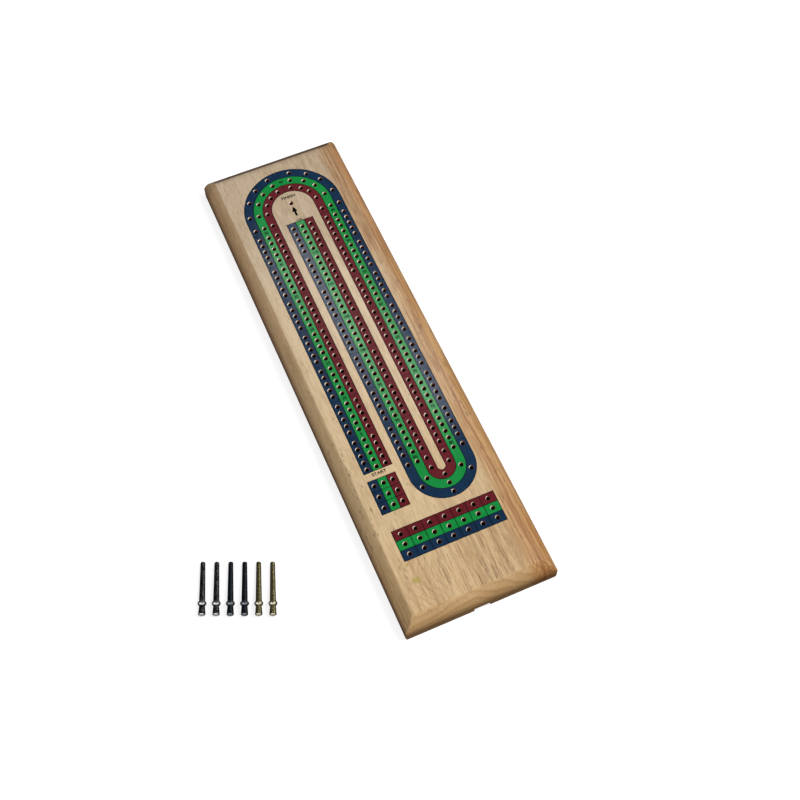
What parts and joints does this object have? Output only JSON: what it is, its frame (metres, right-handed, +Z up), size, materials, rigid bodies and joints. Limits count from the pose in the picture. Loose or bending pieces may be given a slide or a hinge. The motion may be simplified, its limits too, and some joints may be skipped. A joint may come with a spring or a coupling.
{
  "type": "cribbage board",
  "caption": "Bevelled hardwood cribbage board with three printed colour lanes of peg holes, a sliding peg store lid underneath and turned metal pegs lying beside it.",
  "frame": {"origin": "centre of the board's flat underside", "axes": "+X to the player's right, +Y along the board to the finish end, +Z up out of the scoring face"},
  "size_m": [0.2113, 0.3638, 0.019],
  "materials": {
    "wood": "satin",
    "lid_wood": "satin",
    "print_black": "satin",
    "print_blue": "satin",
    "print_green": "satin",
    "print_red": "satin",
    "peg_silver": "polished",
    "peg_black": "gloss",
    "peg_gold": "gloss"
  },
  "bodies": {
    "board": {"board_body": "wood", "track_ground": "print_black", "start_ground": "print_black", "games_ground": "print_black", "track_blue": "print_blue", "track_green": "print_green", "track_red": "print_red", "start_blue": "print_blue", "start_green": "print_green", "start_red": "print_red", "games_blue": "print_blue", "games_green": "print_green", "games_red": "print_red"},
    "lid": {"storage_lid": "lid_wood"},
    "silver_peg_1": {"silver_peg_1": "peg_silver"},
    "silver_peg_2": {"silver_peg_2": "peg_silver"},
    "black_peg_1": {"black_peg_1": "peg_black"},
    "black_peg_2": {"black_peg_2": "peg_black"},
    "gold_peg_1": {"gold_peg_1": "peg_gold"},
    "gold_peg_2": {"gold_peg_2": "peg_gold"}
  },
  "joints": [
    {"name": "lid_slide", "type": "slide", "parent": "board", "child": "lid", "axis": [0, -1, 0], "range_m": [0, 0.116]},
    {"name": "silver_peg_1_lift", "type": "slide", "parent": "board", "child": "silver_peg_1", "axis": [0, 0, 1], "range_m": [0, 0.06]},
    {"name": "silver_peg_2_lift", "type": "slide", "parent": "board", "child": "silver_peg_2", "axis": [0, 0, 1], "range_m": [0, 0.06]},
    {"name": "black_peg_1_lift", "type": "slide", "parent": "board", "child": "black_peg_1", "axis": [0, 0, 1], "range_m": [0, 0.06]},
    {"name": "black_peg_2_lift", "type": "slide", "parent": "board", "child": "black_peg_2", "axis": [0, 0, 1], "range_m": [0, 0.06]},
    {"name": "gold_peg_1_lift", "type": "slide", "parent": "board", "child": "gold_peg_1", "axis": [0, 0, 1], "range_m": [0, 0.06]},
    {"name": "gold_peg_2_lift", "type": "slide", "parent": "board", "child": "gold_peg_2", "axis": [0, 0, 1], "range_m": [0, 0.06]}
  ]
}
